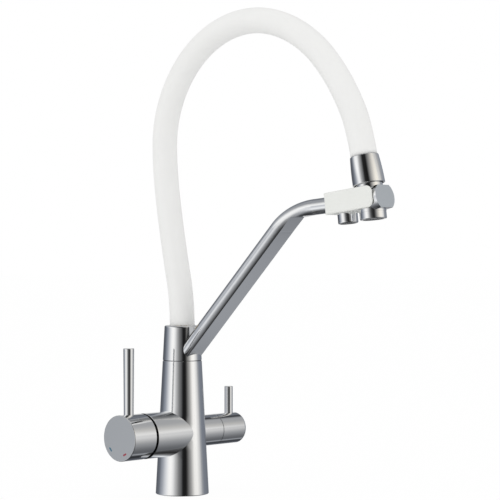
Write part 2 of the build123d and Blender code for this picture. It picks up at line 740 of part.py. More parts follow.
# Filtered water outlet under the holder, with its small jet insert
outlet_face = holder_half_height + face_gap
outlet_end = outlet_face + outlet_length
with BuildPart() as filter_outlet:
    rod(outlet_axis, outlet_radius, outlet_face, outlet_end)
    fillet(filter_outlet.edges().filter_by(GeomType.CIRCLE).sort_by(Axis.Z)[0], outlet_edge)
    rod(outlet_axis, outlet_thread_radius, outlet_face - outlet_thread_length + face_gap,
        outlet_face)
    rod(outlet_axis, outlet_bore_radius, 0, overrun, mode=Mode.SUBTRACT)
    rod(outlet_axis, small_screen_radius + running_gap,
        outlet_end - aerator_recess - small_screen_thick, overrun, mode=Mode.SUBTRACT)
save(filter_outlet, "filter_outlet")


def screen(axis, radius, start, thick, name):
    """Round jet insert with rings of small holes."""
    with BuildPart() as insert:
        rod(axis, radius, start, start + thick)
        with BuildSketch(axis.offset(start)):
            for ring_share, count in zip(screen_ring_shares, screen_hole_counts):
                with PolarLocations(radius * ring_share, count):
                    Circle(radius * screen_hole_share)
        extrude(amount=thick, mode=Mode.SUBTRACT)
    save(insert, name)


screen(outlet_axis, small_screen_radius, outlet_end - aerator_recess - small_screen_thick
       + face_gap, small_screen_thick, "filter_screen")

# Head body: outlet tube square to the holder, leaning neck, and the boss at the front
boss_axis = Plane(origin=head_axis.origin, x_dir=(1, 0, 0), z_dir=-head_axis.y_dir)
sleeve_foot = boss_below_top - sleeve_length
neck_top = sleeve_foot + neck_above
cap_start = boss_reach - boss_cap_thick


def boss_sketch(distance):
    """Round boss with a flat above and below, at a distance in front of the head."""
    with BuildSketch(boss_axis.offset(distance)) as outline:
        Circle(boss_radius)
        Rectangle(2 * boss_radius, 2 * boss_half_height, mode=Mode.INTERSECT)
    return outline.sketch


def bent_rod(radius, below, above, mode=Mode.ADD):
    """Round bar along the head's bent axis, from below its middle to above it."""
    middle = head_axis.origin
    foot = middle + outlet_down.z_dir * below
    with BuildLine() as bend:
        Polyline(foot, middle, middle + head_up * above)
    with BuildSketch(Plane(origin=foot, x_dir=(1, 0, 0), z_dir=-outlet_down.z_dir)) as section:
        Circle(radius)
    sweep(sections=section.sketch, path=bend.line, transition=Transition.RIGHT, mode=mode)


with BuildPart() as head_body:
    bent_rod(head_radius, outlet_joint_below, sleeve_foot - face_gap)
    rod(head_axis, neck_radius, 0, neck_top)
    extrude(boss_sketch(fork_gap), amount=cap_start - fork_gap)
    bent_rod(head_radius - head_wall, outlet_joint_below, boss_half_height - head_wall,
             Mode.SUBTRACT)
    rod(head_axis, mixed_radius, 0, overrun, mode=Mode.SUBTRACT)
    rod(boss_axis, boss_bore_radius, 0, overrun, mode=Mode.SUBTRACT)
save(head_body, "head_body")

with BuildPart() as boss_cap:
    extrude(boss_sketch(cap_start + face_gap), amount=boss_cap_thick)
    chamfer(boss_cap.faces().sort_by(Axis.Y)[0].edges(), boss_edge)
    rod(boss_axis, boss_bore_radius - running_gap, cap_start - boss_cap_spigot, cap_start
        + boss_cap_thick)
save(boss_cap, "boss_cap")

with BuildPart() as main_outlet:
    ring_start = outlet_joint_below + face_gap
    rod(outlet_down, main_outlet_radius, ring_start, head_bottom_below)
    fillet(main_outlet.edges().filter_by(GeomType.CIRCLE).sort_by(Axis.Z)[0], main_outlet_edge)
    rod(outlet_down, outlet_spigot_radius, ring_start - outlet_spigot_length, ring_start)
    rod(outlet_down, outlet_spigot_radius - head_wall / 2, 0, overrun, mode=Mode.SUBTRACT)
    rod(outlet_down, main_screen_radius + running_gap, ring_start, overrun,
        mode=Mode.SUBTRACT)
save(main_outlet, "main_outlet")

screen(outlet_down, main_screen_radius, ring_start + face_gap,
       head_bottom_below - aerator_recess - ring_start, "main_screen")

# Sleeve over the hose end, slightly barrel shaped, and the ferrule inside it
sleeve_middle = sleeve_foot + sleeve_length / 2
sleeve_middle_radius = (sleeve_top_radius + sleeve_bottom_radius) / 2 + sleeve_swell
sleeve_section = Plane(origin=head_axis.origin, x_dir=(1, 0, 0), z_dir=head_axis.y_dir * -1)
with BuildPart() as hose_sleeve:
    with BuildSketch(sleeve_section):
        with BuildLine():
            flank = ThreePointArc((sleeve_bottom_radius, sleeve_foot),
                                  (sleeve_middle_radius, sleeve_middle),
                                  (sleeve_top_radius, boss_below_top))
            Polyline(flank @ 1, (0, boss_below_top), (0, sleeve_foot), flank @ 0)
        make_face()
    revolve(axis=Axis(head_axis.origin, head_axis.z_dir))
    fillet(hose_sleeve.edges().filter_by(GeomType.CIRCLE), sleeve_edge)
    cone(head_axis, sleeve_bottom_radius - sleeve_wall, sleeve_top_radius - sleeve_wall,
         sleeve_foot, boss_below_top - sleeve_wall, mode=Mode.SUBTRACT)
    rod(head_axis, mixed_radius, 0, overrun + overrun, mode=Mode.SUBTRACT)
save(hose_sleeve, "hose_sleeve")

with BuildPart() as hose_ferrule:
    rod(head_axis, ferrule_radius, neck_top + face_gap, boss_below_top - sleeve_wall - face_gap)
    rod(head_axis, mixed_radius, 0, overrun, mode=Mode.SUBTRACT)
save(hose_ferrule, "hose_ferrule")

# Silicone hose: jacket and liner along one route
hose_foot = nipple_foot_height + nipple_thick + face_gap
hose_end = sleeve_top_point + head_up * face_gap
arch_rise = arch_height - hose_foot
arch_fall = arch_height - hose_end.Z
route = [Vector(0, 0, hose_foot), Vector(0, 0, hose_foot + hose_exit_run)]
route += [Vector(0, -forward, hose_foot + rise * arch_rise) for forward, rise in rising_points]
route += [Vector(0, -forward, arch_height - fall * arch_fall)
          for forward, fall in falling_points]
route += [hose_end + head_up * hose_end_run, hose_end]
runs = [end - start for start, end in zip(route, route[1:])]
bend_radii = [
    arc_share * min(before.length, after.length) / tan(radians(before.get_angle(after) / 2))
    for before, after in zip(runs, runs[1:])
]
print("hose bend radii", [round(radius, 1) for radius in bend_radii])
print("hose route", [(round(point.Y, 2), round(point.Z, 2)) for point in route])


def hose_tube(outer, bore, name):
    """Round tube along the hose's route."""
    with BuildPart() as tube:
        with BuildLine() as path:
            FilletPolyline(*route, radius=bend_radii)
        with BuildSketch(Plane(origin=route[0], x_dir=(1, 0, 0), z_dir=(0, 0, 1))):
            Circle(outer)
            Circle(bore, mode=Mode.SUBTRACT)
        sweep(path=path.line)
    length = sum(edge.length for edge in path.line.edges())
    section = pi * (outer ** 2 - bore ** 2)
    print(name, "length", round(length, 1), "volume share",
          round(tube.part.volume / (section * length), 4))
    save(tube, name)


hose_tube(hose_radius, hose_jacket_bore, "silicone_hose")
hose_tube(liner_radius, liner_bore, "hose_liner")
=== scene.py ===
"""Looks of a kitchen tap for mixed and filtered water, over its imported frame, in metres."""

import logging
import math
from dataclasses import dataclass
from enum import Enum

import bmesh
import bpy
from mathutils import Matrix, Vector


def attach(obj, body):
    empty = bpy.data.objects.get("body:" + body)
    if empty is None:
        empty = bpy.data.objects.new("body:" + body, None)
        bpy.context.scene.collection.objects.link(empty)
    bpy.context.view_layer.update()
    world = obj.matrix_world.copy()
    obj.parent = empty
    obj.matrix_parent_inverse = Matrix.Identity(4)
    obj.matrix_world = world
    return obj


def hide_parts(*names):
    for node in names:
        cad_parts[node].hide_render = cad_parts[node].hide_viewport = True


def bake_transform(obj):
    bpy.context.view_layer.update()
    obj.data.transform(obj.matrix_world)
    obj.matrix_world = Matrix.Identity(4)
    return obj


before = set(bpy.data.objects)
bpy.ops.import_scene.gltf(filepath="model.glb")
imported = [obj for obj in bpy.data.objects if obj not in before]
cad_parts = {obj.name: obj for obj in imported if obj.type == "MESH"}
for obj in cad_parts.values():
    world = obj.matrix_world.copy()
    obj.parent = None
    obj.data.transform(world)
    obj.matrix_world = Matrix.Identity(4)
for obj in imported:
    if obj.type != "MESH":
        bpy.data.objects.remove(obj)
LOG = logging.getLogger("kitchen_tap")
Colour = tuple[float, float, float]
Point = tuple[float, float, float]
Tones = tuple[tuple[float, float, float], ...]
FULL_TURN = 360.0
DISPLAY_WHITE = 255.0
MIX_A, MIX_B, MIX_RESULT = 6, 7, 2
PATTERN_LOW, PATTERN_HIGH = 0.3, 0.7
WELD_DISTANCE = 1e-7


class Body(Enum):
    """Rigid bodies of the tap that a new piece can ride on."""

    SPOUT = "spout"
    HEAD = "head"


class Shader:
    """One material and the nodes in it."""

    def __init__(self, name: str) -> None:
        """Start a material with its principled shader.

        Args:
            name: Name of the material.
        """
        self.material = bpy.data.materials.new(name)
        self.material.use_nodes = True
        self.tree = self.material.node_tree
        self.surface = self.tree.nodes["Principled BSDF"]
        self.position = self.node("ShaderNodeTexCoord").outputs["Object"]

    def node(self, kind: str, **values: object) -> bpy.types.Node:
        """Add a node and set its inputs or its own settings by name.

        Args:
            kind: Blender's type name of the node.
            values: Inputs or settings, with spaces in their names as underscores.

        Returns:
            The new node.
        """
        made = self.tree.nodes.new(kind)
        for name, value in values.items():
            socket = made.inputs.get(name.replace("_", " "))
            if socket is not None:
                socket.default_value = value
            else:
                setattr(made, name, value)
        return made

    def link(self, source: bpy.types.NodeSocket, target: bpy.types.NodeSocket) -> None:
        """Join an output to an input."""
        self.tree.links.new(source, target)

    def noise(self, scale: float, detail: float = 3.0) -> bpy.types.NodeSocket:
        """Cloudy pattern over the piece's own place.

        Args:
            scale: Size of the pattern, larger is finer.
            detail: Octaves of the pattern.

        Returns:
            The pattern's value, 0 to 1.
        """
        clouds = self.node("ShaderNodeTexNoise", Scale=scale, Detail=detail)
        self.link(self.position, clouds.inputs["Vector"])
        return clouds.outputs["Fac"]

    def spread(self, value: bpy.types.NodeSocket, low: float, high: float) -> bpy.types.NodeSocket:
        """Map a pattern of 0 to 1 onto a narrower span.

        Args:
            value: The pattern.
            low: Result where the pattern is at its low end.
            high: Result where it is at its high end.

        Returns:
            The mapped value.
        """
        mapped = self.node("ShaderNodeMapRange", From_Min=PATTERN_LOW, From_Max=PATTERN_HIGH,
                           To_Min=low, To_Max=high)
        self.link(value, mapped.inputs["Value"])
        return mapped.outputs["Result"]

    def shade(self, value: bpy.types.NodeSocket, low: Colour, high: Colour) -> None:
        """Colour the surface between two tones by a pattern.

        Args:
            value: The pattern.
            low: Tone at the pattern's low end.
            high: Tone at its high end.
        """
        ramp = self.node("ShaderNodeValToRGB")
        stops = ramp.color_ramp.elements
        for stop, place, tone in zip(stops, (PATTERN_LOW, PATTERN_HIGH), (low, high)):
            stop.position = place
            stop.color = (*tone, 1.0)
        self.link(value, ramp.inputs["Fac"])
        self.link(ramp.outputs["Color"], self.surface.inputs["Base Color"])

    def calculate(self, operation: str,
                  *sources: bpy.types.NodeSocket | float) -> bpy.types.NodeSocket:
        """One step of arithmetic on outputs and numbers.

        Args:
            operation: Blender's name of the step.
            sources: Outputs or numbers that go in.

        Returns:
            The result.
        """
        node = self.node("ShaderNodeMath", operation=operation)
        for socket, source in zip(node.inputs, sources):
            if isinstance(source, bpy.types.NodeSocket):
                self.link(source, socket)
            else:
                socket.default_value = source
        return node.outputs["Value"]

    def mix(self, share: bpy.types.NodeSocket, first: bpy.types.NodeSocket | Colour,
            second: bpy.types.NodeSocket | Colour) -> bpy.types.NodeSocket:
        """Mix of two colours.

        Args:
            share: Share of the second colour, 0 to 1.
            first: An output or a plain colour.
            second: An output or a plain colour.

        Returns:
            The mixed colour.
        """
        node = self.node("ShaderNodeMix", data_type="RGBA")
        self.link(share, node.inputs["Factor"])
        for place, source in ((MIX_A, first), (MIX_B, second)):
            if isinstance(source, bpy.types.NodeSocket):
                self.link(source, node.inputs[place])
            else:
                node.inputs[place].default_value = (*source, 1.0)
        return node.outputs[MIX_RESULT]

    def show(self, output: bpy.types.NodeSocket) -> None:
        """Make an output the surface of the material."""
        self.link(output, self.tree.nodes["Material Output"].inputs["Surface"])

    def bump(self, value: bpy.types.NodeSocket, strength: float, depth: float) -> None:
        """Raise the surface by a pattern.

        Args:
            value: The pattern.
            strength: Share of the relief that shows.
            depth: Height of the relief in metres.
        """
        relief = self.node("ShaderNodeBump", Strength=strength, Distance=depth)
        self.link(value, relief.inputs["Height"])
        self.link(relief.outputs["Normal"], self.surface.inputs["Normal"])


@dataclass(frozen=True)
class Metal:
    """Plated or bare metal with fine smears in its gloss."""

    name: str
    tone: Colour
    gloss_low: float
    gloss_high: float
    relief: float = 0.000004
    grain: float = 900.0
    grain_detail: float = 2.0
    grain_strength: float = 0.5
    smear_scale: float = 38.0
    smear_detail: float = 4.0
    deep_share: float = 0.975

    def build(self) -> bpy.types.Material:
        """Make the material.

        Returns:
            The finished material.
        """
        made = Shader(self.name)
        made.surface.inputs["Metallic"].default_value = 1.0
        smear = made.noise(self.smear_scale, self.smear_detail)
        deeper = tuple(self.deep_share * part for part in self.tone)
        made.shade(smear, deeper, self.tone)
        made.link(made.spread(smear, self.gloss_low, self.gloss_high),
                  made.surface.inputs["Roughness"])
        grain = made.noise(self.grain, self.grain_detail)
        made.bump(grain, self.grain_strength, self.relief)
        return made.material


@dataclass(frozen=True)
class FacedChrome:
    """Bright chrome whose flat end face, past a plane, is turned and satin, and darker in colour as
    painted shade.
    """

    name: str
    face_start: Point
    face_normal: Point
    # colour of the end face, darker than the chrome: painted shade
    shaded_face_tone: Colour
    tone: Colour = (0.93, 0.935, 0.94)
    satin: float = 0.34
    polished: float = 0.07
    ring_scale: float = 4200.0
    ring_strength: float = 0.35
    ring_depth: float = 0.00001

    def build(self) -> bpy.types.Material:
        """Make the material.

        Returns:
            The finished material.
        """
        made = Shader(self.name)
        made.surface.inputs["Metallic"].default_value = 1.0
        away = made.node("ShaderNodeVectorMath", operation="SUBTRACT")
        made.link(made.position, away.inputs[0])
        away.inputs[1].default_value = self.face_start
        height = made.node("ShaderNodeVectorMath", operation="DOT_PRODUCT")
        made.link(away.outputs["Vector"], height.inputs[0])
        height.inputs[1].default_value = self.face_normal
        on_face = made.calculate("GREATER_THAN", height.outputs["Value"], 0.0)
        radius = made.node("ShaderNodeVectorMath", operation="LENGTH")
        made.link(away.outputs["Vector"], radius.inputs[0])
        rings = made.node("ShaderNodeTexNoise", noise_dimensions="1D", Scale=self.ring_scale)
        made.link(radius.outputs["Value"], rings.inputs["W"])
        gloss = made.node("ShaderNodeMapRange", To_Min=self.polished, To_Max=self.satin)
        made.link(on_face, gloss.inputs["Value"])
        made.link(gloss.outputs["Result"], made.surface.inputs["Roughness"])
        # the end face takes its darker colour here: painted shade
        made.link(made.mix(on_face, self.tone, self.shaded_face_tone), made.surface.inputs["Base Color"])
        turned = made.calculate("MULTIPLY", rings.outputs["Fac"], on_face)
        made.bump(turned, self.ring_strength, self.ring_depth)
        return made.material


@dataclass(frozen=True)
class Moulded:
    """Moulded rubber, silicone, plastic, ceramic or enamel."""

    name: str
    tone: Colour
    roughness: float
    mottle: float = 0.03
    relief: float = 0.00001
    grain: float = 1400.0
    grain_strength: float = 0.4
    sheen: float = 0.0
    cloud_scale: float = 60.0
    gloss_span: float = 0.08
    specular: float = 0.4

    def build(self) -> bpy.types.Material:
        """Make the material.

        Returns:
            The finished material.
        """
        made = Shader(self.name)
        clouds = made.noise(self.cloud_scale)
        deeper = tuple((1.0 - self.mottle) * part for part in self.tone)
        made.shade(clouds, deeper, self.tone)
        made.link(made.spread(clouds, self.roughness, self.roughness + self.gloss_span),
                  made.surface.inputs["Roughness"])
        made.surface.inputs["Sheen Weight"].default_value = self.sheen
        made.surface.inputs["Specular IOR Level"].default_value = self.specular
        made.bump(made.noise(self.grain), self.grain_strength, self.relief)
        return made.material


Paint = Metal | FacedChrome | Moulded


class Finish(Enum):
    """Finishes of the tap's pieces."""

    CHROME = Metal("polished_chrome", (0.93, 0.935, 0.94), 0.05, 0.09)
    BRASS = Metal("machined_brass", (0.74, 0.58, 0.32), 0.24, 0.34,
                  relief=0.00001, grain=500.0)
    STEEL = Metal("satin_steel", (0.60, 0.60, 0.60), 0.26, 0.36,
                  relief=0.00001, grain=600.0)
    SILICONE = Moulded("white_silicone", (0.87, 0.87, 0.857), 0.62,
                       mottle=0.012, relief=0.000012, grain=2200.0, sheen=0.1)
    HOLDER = Moulded("white_holder_plastic", (0.82, 0.83, 0.80), 0.34,
                     mottle=0.012, relief=0.000006, grain=1500.0)
    GREY_PLASTIC = Moulded("grey_acetal", (0.30, 0.31, 0.32), 0.42)
    JETS = Moulded("grey_jet_rubber", (0.16, 0.165, 0.17), 0.55)
    BLACK_PLASTIC = Moulded("black_acetal", (0.012, 0.012, 0.013), 0.5)
    BLACK_RUBBER = Moulded("black_rubber", (0.02, 0.02, 0.022), 0.62, mottle=0.1)
    CERAMIC = Moulded("lapped_ceramic", (0.86, 0.85, 0.81), 0.16, mottle=0.02)
    COLD = Moulded("cold_blue_enamel", (0.05, 0.15, 0.22), 0.3)
    HOT = Moulded("hot_red_enamel", (0.32, 0.045, 0.065), 0.3)


class Paintbox:
    """Keeps one material for each finish and puts it on pieces."""

    def __init__(self) -> None:
        """Start with no material made."""
        self.made: dict[Paint, bpy.types.Material] = {}

    def material(self, finish: Finish | Paint) -> bpy.types.Material:
        """Material of a finish, made at its first use.

        Args:
            finish: One of the tap's finishes, or a paint of a piece's own.

        Returns:
            Its material.
        """
        paint = finish.value if isinstance(finish, Finish) else finish
        if paint not in self.made:
            self.made[paint] = paint.build()
        return self.made[paint]

    def dress(self, piece: bpy.types.Object, finish: Finish | Paint) -> None:
        """Give a piece one finish all over.

        Args:
            piece: A new piece or a node of the frame.
            finish: Its finish.
        """
        made = self.material(finish)
        piece.data.materials.clear()
        piece.data.materials.append(made)
        LOG.info("%s is dressed in %s", piece.name, made.name)


PAINTS = Paintbox()


def scene_object(name: str, mesh: bpy.types.Mesh) -> bpy.types.Object:
    """Put a mesh into the scene as an object at the origin.

    Args:
        name: Name of the object.
        mesh: Its mesh, in the row frame.

    Returns:
        The object.
    """
    made = bpy.data.objects.new(name, mesh)
    bpy.context.scene.collection.objects.link(made)
    return made


def mesh_from(name: str, points: list[Vector], faces: list[list[int]]) -> bpy.types.Mesh:
    """Mesh of given points and faces, smooth and with its faces outwards.

    Args:
        name: Name of the mesh.
        points: Corners in metres.
        faces: Corner numbers of each face.

    Returns:
        The mesh.
    """
    mesh = bpy.data.meshes.new(name)
    mesh.from_pydata([tuple(point) for point in points], [], faces)
    work = bmesh.new()
    work.from_mesh(mesh)
    bmesh.ops.remove_doubles(work, verts=work.verts, dist=WELD_DISTANCE)
    bmesh.ops.recalc_face_normals(work, faces=work.faces)
    for face in work.faces:
        face.smooth = True
    work.to_mesh(mesh)
    work.free()
    return mesh


def forward_at(lean: float) -> Vector:
    """Forward direction of a part that leans back by an angle in degrees."""
    angle = math.radians(lean)
    return Vector((0.0, -math.cos(angle), math.sin(angle)))


def up_at(lean: float) -> Vector:
    """Upward direction of a part that leans back by an angle in degrees."""
    angle = math.radians(lean)
    return Vector((0.0, math.sin(angle), math.cos(angle)))


@dataclass
class JetFace:
    """Rubber nubs round the holes of a jet insert."""

    name: str
    body: Body
    centre: Vector
    down: Vector
    insert_radius: float
    ring_shares: tuple[float, ...] = (0.25, 0.5, 0.75)
    ring_counts: tuple[int, ...] = (6, 12, 18)
    nub_share: float = 0.085
    nub_height: float = 0.0006
    nub_sides: int = 20
    tip_share: float = 0.7

    def scaled(self, tree: bpy.types.NodeTree, size: bpy.types.NodeSocket,
               share: float) -> bpy.types.NodeSocket:
        """Share of a size inside the node tree.

        Args:
            tree: The node tree.
            size: The size.
            share: The share of it.

        Returns:
            The scaled size.
        """
        node = tree.nodes.new("ShaderNodeMath")
        node.operation = "MULTIPLY"
        node.inputs[1].default_value = share
        tree.links.new(size, node.inputs[0])
        return node.outputs["Value"]

    def tree(self) -> bpy.types.NodeTree:
        """Node tree that sets the nubs in rings.

        Returns:
            The tree, with named sizes as its inputs.
        """
        tree = bpy.data.node_groups.new(self.name + "_rings", "GeometryNodeTree")
        for size in ("Insert Radius", "Nub Radius", "Nub Height"):
            tree.interface.new_socket(size, in_out="INPUT", socket_type="NodeSocketFloat")
        tree.interface.new_socket("Nubs", in_out="OUTPUT", socket_type="NodeSocketGeometry")
        enter = tree.nodes.new("NodeGroupInput")
        leave = tree.nodes.new("NodeGroupOutput")
        nub = tree.nodes.new("GeometryNodeMeshCone")
        nub.inputs["Vertices"].default_value = self.nub_sides
        foot = enter.outputs["Nub Radius"]
        tree.links.new(foot, nub.inputs["Radius Bottom"])
        tree.links.new(self.scaled(tree, foot, self.tip_share), nub.inputs["Radius Top"])
        tree.links.new(enter.outputs["Nub Height"], nub.inputs["Depth"])
        join = tree.nodes.new("GeometryNodeJoinGeometry")
        for share, count in zip(self.ring_shares, self.ring_counts):
            ring = tree.nodes.new("GeometryNodeMeshCircle")
            ring.inputs["Vertices"].default_value = count
            reach = self.scaled(tree, enter.outputs["Insert Radius"], share)
            tree.links.new(reach, ring.inputs["Radius"])
            place = tree.nodes.new("GeometryNodeInstanceOnPoints")
            tree.links.new(ring.outputs["Mesh"], place.inputs["Points"])
            tree.links.new(nub.outputs["Mesh"], place.inputs["Instance"])
            tree.links.new(place.outputs["Instances"], join.inputs["Geometry"])
        real = tree.nodes.new("GeometryNodeRealizeInstances")
        paint = tree.nodes.new("GeometryNodeSetMaterial")
        paint.inputs["Material"].default_value = PAINTS.material(Finish.JETS)
        tree.links.new(join.outputs["Geometry"], real.inputs["Geometry"])
        tree.links.new(real.outputs["Geometry"], paint.inputs["Geometry"])
        tree.links.new(paint.outputs["Geometry"], leave.inputs["Nubs"])
        return tree

    def build(self) -> bpy.types.Object:
        """Make the nubs and set them on the insert's face.

        Returns:
            The nubs as one piece.
        """
        carrier = scene_object(self.name + "_carrier", bpy.data.meshes.new(self.name))
        tree = self.tree()
        rings = carrier.modifiers.new("rings", "NODES")
        rings.node_group = tree
        sizes = {"Insert Radius": self.insert_radius,
                 "Nub Radius": self.nub_share * self.insert_radius,
                 "Nub Height": self.nub_height}
        for item in tree.interface.items_tree:
            if item.in_out == "INPUT" and item.name in sizes:
                rings[item.identifier] = sizes[item.name]
        bpy.context.view_layer.update()
        graph = bpy.context.evaluated_depsgraph_get()
        mesh = bpy.data.meshes.new_from_object(carrier.evaluated_get(graph))
        bpy.data.objects.remove(carrier)
        turn = self.down.to_track_quat("Z", "Y").to_matrix().to_4x4()
        mesh.transform(Matrix.Translation(self.centre) @ turn)
        piece = scene_object(self.name, mesh)
        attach(piece, self.body.value)
        LOG.info("%s has %d faces", piece.name, len(mesh.polygons))
        return piece


class SubAssembly:
    """Part of the tap that dresses its own nodes of the frame."""

    def finishes(self) -> dict[Finish | Paint, tuple[str, ...]]:
        """Finish of each node that keeps its shape."""
        return {}

    def build(self) -> None:
        """Dress the nodes."""
        for finish, nodes in self.finishes().items():
            for node in nodes:
                PAINTS.dress(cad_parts[node], finish)


@dataclass
class Column(SubAssembly):
    """Tapered column with its water core and the swivel post."""

    mixer_housing_end: float = 0.0509
    edge_band: float = 0.0001
    # near-black colour on the chrome end of the mixer housing, in the gap under the cap: painted
    # shade
    painted_end_shade: Colour = (0.018, 0.018, 0.019)

    def body_finish_with_painted_shade(self) -> FacedChrome:
        """Chrome, with painted shade in a dark colour where the mixer housing ends under its cap."""
        start = (self.edge_band - self.mixer_housing_end, 0.0, 0.0)
        return FacedChrome("column_chrome_painted_shade", start, (-1.0, 0.0, 0.0), self.painted_end_shade, satin=0.5)

    def finishes(self) -> dict[Finish | Paint, tuple[str, ...]]:
        """Finish of each node of the column."""
        return {
            self.body_finish_with_painted_shade(): ("column_body",),
            Finish.BRASS: ("water_core", "swivel_post"),
            Finish.STEEL: ("collar_clip",),
            Finish.BLACK_RUBBER: ("base_gasket", "post_rings"),
            Finish.BLACK_PLASTIC: ("glide_washer",),
        }


@dataclass
class MixerValve(SubAssembly):
    """Cartridge with the cap and lever that set warmth and flow."""

    axis_height: float = 0.057
    face_reach: float = 0.0805
    edge_band: float = 0.00005
    # darker grey colour of the turned end face: painted shade, the satin gloss and rings are its own
    shaded_face_tone: Colour = (0.62, 0.635, 0.645)

    def cap_finish_with_shade(self) -> FacedChrome:
        """Chrome with a turned, satin end face, whose darker colour is painted shade."""
        start = (self.edge_band - self.face_reach, 0.0, self.axis_height)
        return FacedChrome("mixer_cap_chrome_shaded_face", start, (-1.0, 0.0, 0.0), self.shaded_face_tone)

    def finishes(self) -> dict[Finish | Paint, tuple[str, ...]]:
        """Finish of each node of the mixer valve."""
        return {
            self.cap_finish_with_shade(): ("mixer_cap",),
            Finish.CHROME: ("mixer_lever",),
            Finish.BRASS: ("cartridge_nut",),
            Finish.STEEL: ("pivot_pin", "lever_stem", "mixer_grub_screw"),
            Finish.GREY_PLASTIC: ("cartridge_body", "cartridge_carrier"),
            Finish.BLACK_RUBBER: ("cartridge_seals",),
            Finish.BLACK_PLASTIC: ("trim_ring",),
            Finish.COLD: ("cold_mark",),
            Finish.HOT: ("hot_mark",),
        }


@dataclass
class FilterValve(SubAssembly):
    """Ceramic headpart with its small cap and lever."""

    def finishes(self) -> dict[Finish | Paint, tuple[str, ...]]:
        """Finish of each node of the filter valve."""
        return {
            Finish.CHROME: ("filter_cap", "filter_lever"),
            Finish.BRASS: ("filter_headpart", "filter_spindle"),
            Finish.CERAMIC: ("fixed_disc", "turning_disc"),
            Finish.STEEL: ("filter_grub_screw",),
        }


@dataclass
class SpoutArm(SubAssembly):
    """Swivel collar and arm, with the white holder and the outlet for filtered water."""

    holder_back: float = 0.1877
    holder_back_height: float = 0.2678
    holder_tilt: float = 7.0
    outlet_back: float = 0.0131
    jets_below: float = 0.01805
    jets_radius: float = 0.0072

    def forward(self) -> Vector:
        """Direction of the holder, away from the column."""
        return forward_at(self.holder_tilt)

    def up(self) -> Vector:
        """Direction out of the holder's top."""
        return up_at(self.holder_tilt)

    def holder_point(self) -> Vector:
        """Middle of the holder's back face."""
        return Vector((0.0, -self.holder_back, self.holder_back_height))

    def finishes(self) -> dict[Finish | Paint, tuple[str, ...]]:
        """Finish of each node of the spout arm."""
        return {
            Finish.CHROME: ("swivel_collar", "spout_arm", "filter_outlet"),
            Finish.HOLDER: ("holder_block",),
            Finish.BRASS: ("hose_nipple",),
            Finish.JETS: ("filter_screen",),
        }

    def build(self) -> None:
        """Dress the nodes and set the nubs of the small jet."""
        super().build()
        centre = self.holder_point() + self.forward() * self.outlet_back
        centre -= self.up() * self.jets_below
        JetFace("filter_jet_nubs", Body.SPOUT, centre, -self.up(), self.jets_radius).build()


@dataclass
class PullOffHead(SubAssembly):
    """Head in the holder's fork, with its sleeve, front boss and main outlet."""

    arm: SpoutArm
    from_holder: float = 0.04133
    drop: float = 0.0022
    lean: float = 12.5
    boss_reach: float = 0.015
    # darker blue-grey colour of the turned front face: painted shade, the satin gloss and rings are
    # its own
    shaded_face_tone: Colour = (0.74, 0.79, 0.84)
    edge_band: float = 0.00005
    sleeve_top: float = 0.0388
    hose_gap: float = 0.00005
    jets_below: float = 0.01595
    jets_radius: float = 0.009

    def up(self) -> Vector:
        """Direction of the head's axis, towards the sleeve."""
        return up_at(self.lean)

    def front(self) -> Vector:
        """Direction of the boss."""
        return forward_at(self.lean)

    def centre(self) -> Vector:
        """Place where the boss's axis meets the head's axis."""
        return (self.arm.holder_point() + self.arm.forward() * self.from_holder
                - self.arm.up() * self.drop)

    def hose_end(self) -> Vector:
        """Place where the hose meets the sleeve."""
        return self.centre() + self.up() * (self.sleeve_top + self.hose_gap)

    def boss_finish_with_shade(self) -> FacedChrome:
        """Chrome with a turned, satin front face, whose darker blue-grey colour is painted shade."""
        start = self.centre() + self.front() * (self.boss_reach - self.edge_band)
        return FacedChrome("boss_chrome_shaded_face", tuple(start), tuple(self.front()), self.shaded_face_tone)

    def finishes(self) -> dict[Finish | Paint, tuple[str, ...]]:
        """Finish of each node of the head."""
        return {
            self.boss_finish_with_shade(): ("boss_cap",),
            Finish.CHROME: ("head_body", "main_outlet", "hose_sleeve"),
            Finish.STEEL: ("hose_ferrule",),
            Finish.JETS: ("main_screen",),
        }

    def build(self) -> None:
        """Dress the nodes and set the nubs of the main jet."""
        super().build()
        JetFace("main_jet_nubs", Body.HEAD, self.centre() - self.arm.up() * self.jets_below,
                -self.arm.up(), self.jets_radius).build()


